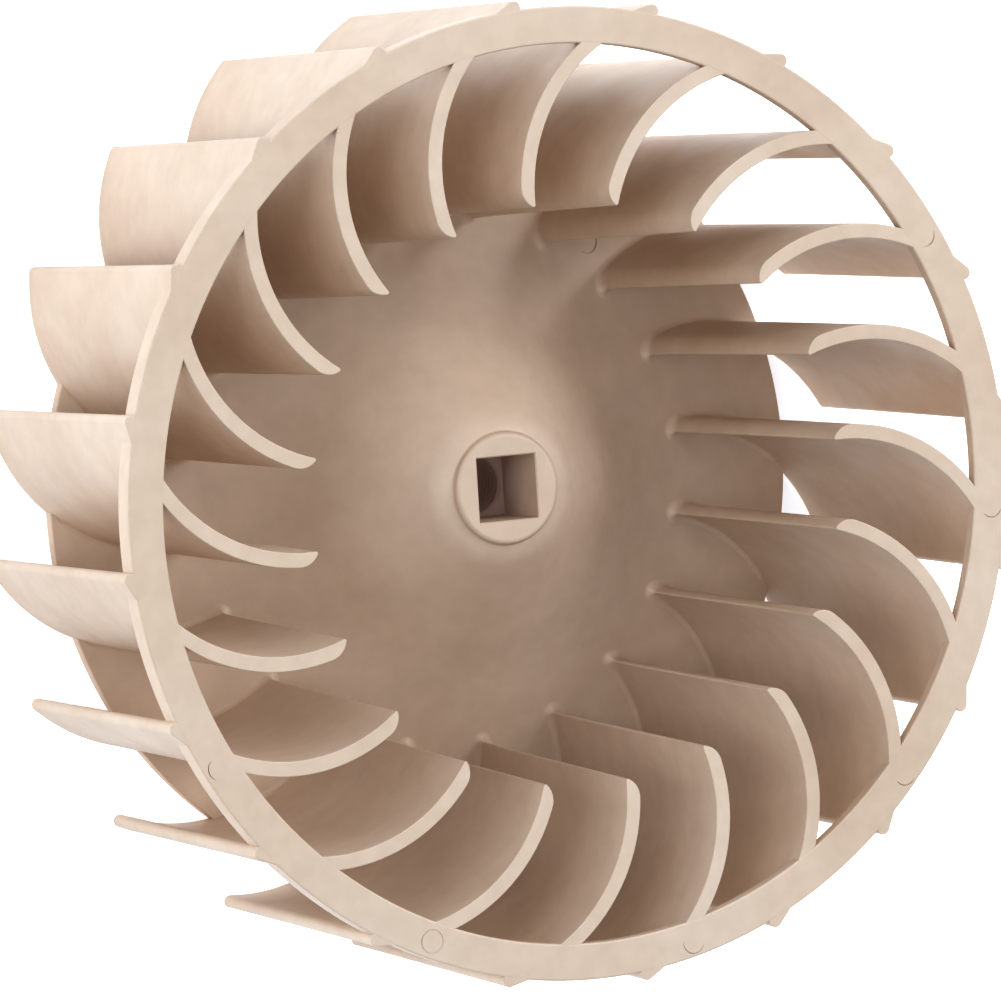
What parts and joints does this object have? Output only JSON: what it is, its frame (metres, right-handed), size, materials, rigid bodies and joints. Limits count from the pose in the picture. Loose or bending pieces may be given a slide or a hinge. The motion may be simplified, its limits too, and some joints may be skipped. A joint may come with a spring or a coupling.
{
  "type": "dryer blower wheel",
  "caption": "Centrifugal blower wheel moulded in one piece: curved blades between a bell-shaped back disc and a front ring, with a square drive socket in the raised hub.",
  "frame": {"origin": "on the wheel's axis, in the rear plane that the back disc's rim and the blades' rear edges share", "axes": "+Z along the wheel's axis, from the rear towards the intake ring; +X and +Y in the rear plane, with one blade's ring end 75.87 degrees from +X"},
  "size_m": [0.1932, 0.1932, 0.0754],
  "materials": {
    "plastic": "satin, warm cream"
  },
  "bodies": {
    "root": {"blower_wheel": "plastic"}
  },
  "joints": []
}
